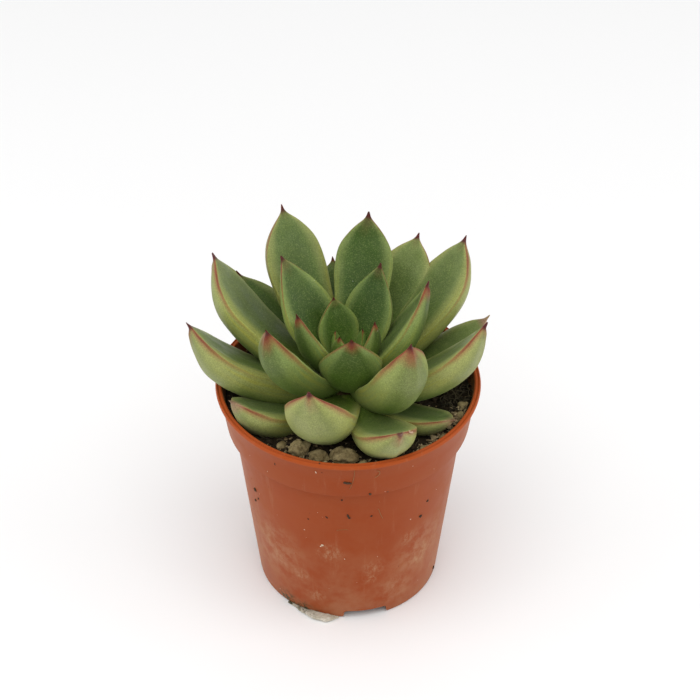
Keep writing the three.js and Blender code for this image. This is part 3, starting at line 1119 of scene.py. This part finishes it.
strewRows = {
    # name, subdivisions, stretch and roughness in mm
    "crumbs": [
        ("crumbA", 2, (1, 0.8, 0.7), 0.35),
        ("crumbB", 2, (1.3, 0.7, 0.5), 0.3),
        ("crumbC", 1, (1.6, 0.5, 0.35), 0.25),
    ],
    # moss and fine roots: about 1 mm long, to be resized
    "strands": [
        [(-0.5, 0, 0), (-0.25, 0.15, 0.1), (0, 0.02, 0.18), (0.25, -0.12, 0.12), (0.5, 0.06, 0)],
        [(-0.5, 0.1, 0), (-0.2, -0.1, 0.14), (0.1, -0.15, 0.2), (0.3, 0.05, 0.25), (0.42, 0.2, 0.1)],
    ],
    # count, azimuths, distances from the axis, sizes and height, in degrees and mm
    "peat": [(900, (0, 360), (14, 47.8), (1.2, 3.2), 89.7)],
    "grit": [
        (120, (0, 360), (30, 48), (0.7, 1.7), 90.2),
        (110, (318, 345), (42, 48.2), (0.8, 2.2), 90.5),
        (60, (292, 318), (43.5, 48.2), (0.7, 1.8), 90.3),
        (190, (228, 300), (36, 48.2), (0.6, 1.9), 90.1),
    ],
    # and how far a strand may tip
    "moss": [(100, (330, 372), (38, 48), (3, 7), 90.5, 20), (110, (0, 360), (30, 48), (2.5, 6.5), 90.4, 35)],
}


def strewBits():
    random.seed(21)
    crumbs = [roughBit(*row) for row in strewRows["crumbs"]]
    strands = [strand([Vector(knot) * mm for knot in bend], 0.07 * mm, 0, 3) for bend in strewRows["strands"]]
    for name, bits, rows, skin, slot in (
        ("peatCrumbs", crumbs, "peat", "peatCrumb", "soil"),
        ("tanGrit", crumbs, "grit", "tanGrit", "pebble"),
        ("mossStrands", strands, "moss", "mossStrand", "soil"),
    ):
        copies = [copy for row in strewRows[rows] for copy in scatter(bits, *row)]
        joinCopies(name, copies, crumbSkin(skin), slot)
    for bit in crumbs + strands:
        bpy.data.objects.remove(bit)


strewBits()
print("loose bits are strewn")


# what sticks to the pot: specks of soil, chips and fibres
clingRows = {
    # azimuth, height and size in degrees and mm
    "flecks": [
        (270, 85.6, 2.2), (268.6, 85.9, 1.4), (280, 78.2, 1.4), (210, 50.7, 1.7), (270, 63.1, 1.8),
        (312, 51.7, 1.9), (316, 58.6, 1.4), (267, 72.5, 1.0), (259, 61.6, 1.1), (249, 58.4, 0.9),
        (282, 62.2, 1.1), (341, 4.3, 2.0), (212, 58, 2.2), (214, 54, 1.3), (236, 88, 0.9),
        (270.6, 62, 1.2), (30, 60, 1.6), (62, 82, 1.8), (95, 48, 1.2), (128, 66, 1.9), (150, 86, 1.2),
        (178, 40, 1.5),
    ],
    "chips": [(256, 90.4, 0.8), (256, 44.2, 1.3), (255, 43.4, 0.8), (268, 37, 0.6), (88, 70, 0.7)],
    # the limits of azimuth, height and size for the smallest of both
    "tiny": [(0, 360), (3, 92), (0.2, 0.45)],
    # azimuth and height of five points
    "fibres": [
        [(282.5, 91.6), (284.2, 91.4), (284.6, 89.6), (283, 88.2), (281.8, 87.9)],
        [(272.8, 93.4), (272.9, 90), (272.2, 87), (271.8, 84), (270.6, 82)],
        [(264, 54.2), (265.5, 55), (267, 54.6), (268.5, 55.4), (270, 54.8)],
        [(285, 66), (286.5, 64.5), (286, 62.5), (287.5, 61), (288, 59.5)],
        [(110, 80), (111.5, 78), (111, 75.5), (113, 74), (114, 74.5)],
    ],
    "thickness": 0.19,
}


def clingToPot():
    random.seed(5)
    bits = [roughBit("fleckA", 1, (1, 0.8, 0.45), 0.3), roughBit("fleckB", 1, (1.5, 0.5, 0.4), 0.25)]

    def stuck(azimuth, height, size):
        bit = random.choice(bits)
        outward = Matrix.Rotation(math.radians(azimuth), 4, "Z") @ Matrix.Rotation(math.pi / 2, 4, "Y")
        spin = Matrix.Rotation(random.uniform(0, 2 * math.pi), 4, "Z")
        place = Matrix.Translation(onWall(azimuth, height, 0.08 * size))
        return bit, place @ outward @ spin @ Matrix.Scale(size, 4), random.random()

    def withTiny(rows, count):
        large = [stuck(*row) for row in rows]
        limits = clingRows["tiny"]
        return large + [stuck(*(random.uniform(*limit) for limit in limits)) for _ in range(count)]

    joinCopies("soilFlecks", withTiny(clingRows["flecks"], 45), crumbSkin("soilFleck"), "soil")
    joinCopies("limeChips", withTiny(clingRows["chips"], 40), crumbSkin("limeChip"), "crust")
    thickness = clingRows["thickness"]
    fibres = []
    for points in clingRows["fibres"]:
        route = [onWall(azimuth, height, thickness / 3) for azimuth, height in points]
        fibres.append(strand(route, thickness * mm))
    copies = [(fibre, Matrix.Identity(4), random.random()) for fibre in fibres]
    joinCopies("dryFibres", copies, crumbSkin("drySprig"), "soil")
    for bit in bits + fibres:
        bpy.data.objects.remove(bit)


clingToPot()
print("flecks and fibres cling to the pot")


# dried tips of old leaves, and a stray fibre on one
huskRows = [
    # leaf, place along it and across it, on which face, size in mm, and tone
    (21, 0.88, 0.75, 0.1, 2.6, 0.75),
    (23, 0.955, 0.0, 0.0, 4.2, 0.1),
    (24, 0.96, 0.0, 0.3, 1.8, 0.9),
    (26, 0.96, 0.0, 0.0, 2.2, 0.65),
    (28, 0.96, 0.0, 0.0, 2.0, 0.4),
    (29, 0.95, 0.0, 0.0, 2.6, 0.2),
]
huskBend = [(-0.5, 0.05, 0.0), (0.1, 0.3, 0.12), (0.6, 0.3, -0.1), (0.7, -0.1, 0.1), (0.3, -0.12, 0.25)]
fibreBend = [(-0.5, 0.03, 0), (-0.3, 0.1, 0.2), (0, 0.08, 0.24), (0.3, 0.1, 0.12), (0.5, 0.04, -0.1)]


def frameOnLeaf(blade, along, across, face):
    # the nearest point of the skin to a place on the leaf, with its directions: along, out, and aside
    marks = {}
    for name in ("along", "across", "face"):
        values = [0.0] * len(blade.data.vertices)
        blade.data.attributes[name].data.foreach_get("value", values)
        marks[name] = values

    def miss(index, reach=along):
        gaps = (marks["along"][index] - reach, marks["across"][index] - across, marks["face"][index] - face)
        return 25 * gaps[0] ** 2 + gaps[1] ** 2 + gaps[2] ** 2

    count = range(len(blade.data.vertices))
    here = blade.data.vertices[min(count, key=miss)]
    back = blade.data.vertices[min(count, key=lambda index: miss(index, along - 0.08))]
    forward = (here.co - back.co).normalized()
    aside = forward.cross(here.normal).normalized()
    out = aside.cross(forward).normalized()
    turn = Matrix((forward, out, aside)).transposed().to_4x4()
    return Matrix.Translation(here.co) @ turn


def addHusks():
    skin = crumbSkin("driedHusk")
    wrinkles = cloudTexture("huskWrinkles", 0.0005, 2)
    for number, along, across, face, size, tone in huskRows:
        husk = strand([Vector(knot) * size * mm for knot in huskBend], 0.3 * size * mm, 2, 8)
        roughen(husk, wrinkles, 0.16 * size * mm)
        place = frameOnLeaf(blades[number], along, across, face)
        joinCopies(f"husk_{number}", [(husk, place, tone)], skin, "leaf")
        bpy.data.objects.remove(husk)
    fibre = strand([Vector(knot) * 4 * mm for knot in fibreBend], 0.28 * mm)
    place = frameOnLeaf(blades[18], 0.8, 0.5, 0.4)
    joinCopies("leafFibre", [(fibre, place, 0.6)], crumbSkin("paleFibre"), "soil")
    bpy.data.objects.remove(fibre)


addHusks()
print("dried tips are on")


# stem and crust
stemShape = {
    "sides": 48,
    "wall": [(5.6, 64), (8.0, 78), (8.7, 88), (8.8, 91), (8.5, 94), (7.6, 99), (5.2, 103.4), (2.4, 105.6)],
    "green": (95, 99),  # from bark to living tissue over these heights, in mm
    "furrow": (0.06, 0.035, 0.018),
    "bark": (0.24, 0.17, 0.09),
    "living": (0.12, 0.18, 0.035),
}


def stemBark():
    material, recipe, shader = newMaterial("stemBark")
    place = recipe.place()
    height = recipe.put("ShaderNodeSeparateXYZ", {"Vector": place}).outputs["Z"]
    rings = recipe.noise(recipe.stretched(place, (90.0, 90.0, 700.0)), 1.0, 4.0, 0.6)
    colour = recipe.mix(recipe.span(rings, 0.35, 0.65), stemShape["furrow"], stemShape["bark"])
    low, high = (value * mm for value in stemShape["green"])
    colour = recipe.mix(recipe.span(height, low, high), colour, stemShape["living"])
    recipe.finish(shader, {
        "Base Color": colour,
        "Roughness": 0.8,
        "Specular IOR Level": 0.2,
        "Normal": recipe.bump(rings, 0.6, 0.0004),
    })
    return material


def raiseStem():
    wall = stemShape["wall"]
    stem = startRing(stemShape["sides"], *wall[0])
    raiseRings(wall)
    closeRing()
    selectVertices(stem, lambda co: co.z < (wall[0][1] + 0.1) * mm)
    closeRing()
    endEdit()
    moveToPot(stem)
    applyModifier(stem, "SUBSURF", levels=2, render_levels=2)
    roughen(stem, cellTexture("leafScars", 0.005), 1.2 * mm)
    smooth(stem)
    settle(stem, "woodyStem", stemBark(), "stem", "stem")


raiseStem()

# a low pale crust along the front-left of the foot: it stands partly for dirt at the foot and partly for the
# floor's shadow in front of it, a sheet of painted shadow
crustShape = {
    "from": 229, "to": 264, "steps": 46,
    "sides": 16,
    "inner": 36.7,  # its inner edge tucks under the foot's outside, in mm
    "width": 4.3,
    "height": 1.5,
    "peak": 0.68,
    "least": 0.3,  # share of the full section at the ends
}
crustFinish = {
    "lime": (0.42, 0.38, 0.29),
    "limePale": (0.66, 0.62, 0.54),
    "algae": (0.07, 0.065, 0.03),
    "algaePale": (0.16, 0.15, 0.07),
}


# the crust's skin: pale beige with a dark end, partly dirt and partly painted shadow
def dirtAndShadowSkin():
    material, recipe, shader = newMaterial("dirtAndShadowSkin")
    place = recipe.place()
    patch = recipe.patches(place, 0.003, 0.18)
    colour = recipe.mix(patch, crustFinish["lime"], crustFinish["limePale"])
    # dark green-black spreads from the thin end: partly algae and dirt, partly painted shadow
    green = recipe.span(recipe.distance(place, onWall(231, 0)), 17 * mm, 2 * mm)
    blotch = recipe.span(recipe.noise(place, 480.0, 4.0, 0.7), 0.42, 0.6)
    colour = recipe.mix(recipe.times(green, blotch), colour, crustFinish["algae"])
    dots = recipe.specks(place, 0.0015, 0.35, 0.25)
    colour = recipe.lay(colour, dots, 0.7, crustFinish["algaePale"])
    recipe.finish(shader, {
        "Base Color": colour,
        "Roughness": 0.9,
        "Specular IOR Level": 0.2,
        "Normal": recipe.bump(recipe.noise(place, 1300.0, 4.0), 0.6, 0.0003),
    })
    return material


def layCrust():
    # one flat oval section against the foot, carried round it, thickest past the middle
    shape = crustShape
    width, height, least = shape["width"] * mm, shape["height"] * mm, shape["least"]
    deselectAll()
    bpy.ops.mesh.primitive_circle_add(vertices=shape["sides"], radius=0.5, rotation=(math.pi / 2, 0, 0))
    crust = bpy.context.object
    applyPlace(location=False, rotation=True)
    start = Matrix.Rotation(math.radians(shape["from"]), 4, "Z")
    section = Matrix.Diagonal((width * least, 1, height * least, 1))
    out = Matrix.Translation((shape["inner"] * mm + 0.5 * width * least, 0, 0.5 * height * least))
    crust.data.transform(start @ out @ section)
    startEdit()
    bpy.ops.mesh.select_all(action="SELECT")
    turn = math.radians(shape["to"] - shape["from"]) / shape["steps"]
    before = least
    for step in range(1, shape["steps"] + 1):
        share = step / shape["steps"]
        rising = smoothStep(-0.1, shape["peak"], share)
        full = max(least, rising * (1 - smoothStep(shape["peak"] + 0.1, 1.08, share)))
        bpy.ops.mesh.extrude_region_move()
        bpy.ops.transform.rotate(value=-turn, orient_axis="Z", center_override=(0, 0, 0))
        azimuth = math.radians(shape["from"]) + turn * step
        foot = (shape["inner"] * mm * math.cos(azimuth), shape["inner"] * mm * math.sin(azimuth), 0)
        resize([full / before] * 3, foot)
        before = full
    closeRing()
    endEdit()
    edge = math.radians(shape["from"]) + turn / 2
    selectVertices(crust, lambda co: math.atan2(co.y, co.x) % (2 * math.pi) < edge)
    closeRing()
    endEdit()
    moveToPot(crust)
    applyModifier(crust, "SUBSURF", levels=2, render_levels=2)
    for name, size, strength in (("crustLumps", 0.0035, 1.1), ("crustGrain", 0.0009, 0.35)):
        roughen(crust, cloudTexture(name, size), strength * mm)
    selectVertices(crust, lambda co: co.z < 0)
    resize((1, 1, 0))
    endEdit()
    smooth(crust)
    settle(crust, "limeCrust", dirtAndShadowSkin(), "crust", "crust")


layCrust()
print("stem and crust are made")


# granules
pumiceFinish = {
    "deep": (0.1, 0.066, 0.022),
    "pale": (0.35, 0.275, 0.135),
    "pore": (0.05, 0.034, 0.014),
    "grain": (0.46, 0.37, 0.19),
}
pebbleRows = [
    # middle from the pot's axis, size in mm, and turn
    ((-18.8, -36.6, 91.4), (8.4, 7, 6.4), 20),
    ((-11.4, -40.8, 90.6), (8.6, 6.4, 5.6), -25),
    ((-1.6, -40.4, 91.2), (12, 7.4, 6), -12),
    ((-25.6, -33.2, 90), (4.6, 3.6, 3), 50),
    ((-5.6, -45.4, 89.8), (4.8, 3, 2.4), 10),
    ((5.8, -43.6, 89.9), (4.4, 3.2, 2.8), 35),
    ((29.4, -35.4, 90.2), (4.8, 3.4, 3), 40),
    ((36.8, -28.2, 90.2), (4.2, 3, 2.8), 60),
    ((44, -15.8, 90.4), (4.6, 3.6, 3.2), 75),
    ((45.2, -10.2, 90.6), (5.2, 4, 3.6), 30),
]


def pumiceStone():
    material, recipe, shader = newMaterial("pumiceStone")
    place = recipe.place()
    patch = recipe.patches(place, 0.004, 0.2)
    colour = recipe.mix(patch, pumiceFinish["deep"], pumiceFinish["pale"])
    pores = recipe.specks(place, 0.0009, 0.55, 0.35)
    colour = recipe.lay(colour, pores, 0.55, pumiceFinish["pore"])
    grain = recipe.noise(place, 1100.0, 4.0, 0.7)
    colour = recipe.lay(colour, grain, 0.35, pumiceFinish["grain"])
    pit = recipe.bump(recipe.minus(1.0, pores), 0.6, 0.0003)
    recipe.finish(shader, {
        "Base Color": colour,
        "Roughness": 0.95,
        "Specular IOR Level": 0.2,
        "Normal": recipe.bump(grain, 0.7, 0.0003, pit),
    })
    return material


def laySomePebbles():
    material = pumiceStone()
    knobs = cloudTexture("pebbleKnobs", 0.0028, 3)
    chips = cellTexture("pebbleChips", 0.0028)
    for number, (at, size, turn) in enumerate(pebbleRows, 1):
        deselectAll()
        bpy.ops.mesh.primitive_ico_sphere_add(subdivisions=5, radius=0.5)
        pebble = bpy.context.object
        pebble.scale = [side * mm * 0.94 for side in size]
        pebble.rotation_euler = (0, 0, math.radians(turn))
        pebble.location = (potX + at[0] * mm, at[1] * mm, at[2] * mm)
        applyPlace(rotation=True, scale=True)
        least = min(size) * mm
        roughen(pebble, knobs, 0.36 * least)
        roughen(pebble, chips, 0.24 * least)
        smooth(pebble, 40)
        settle(pebble, f"granule_{number:02d}", material, "pebble", f"pebble_{number:02d}")


laySomePebbles()
print("granules are laid")
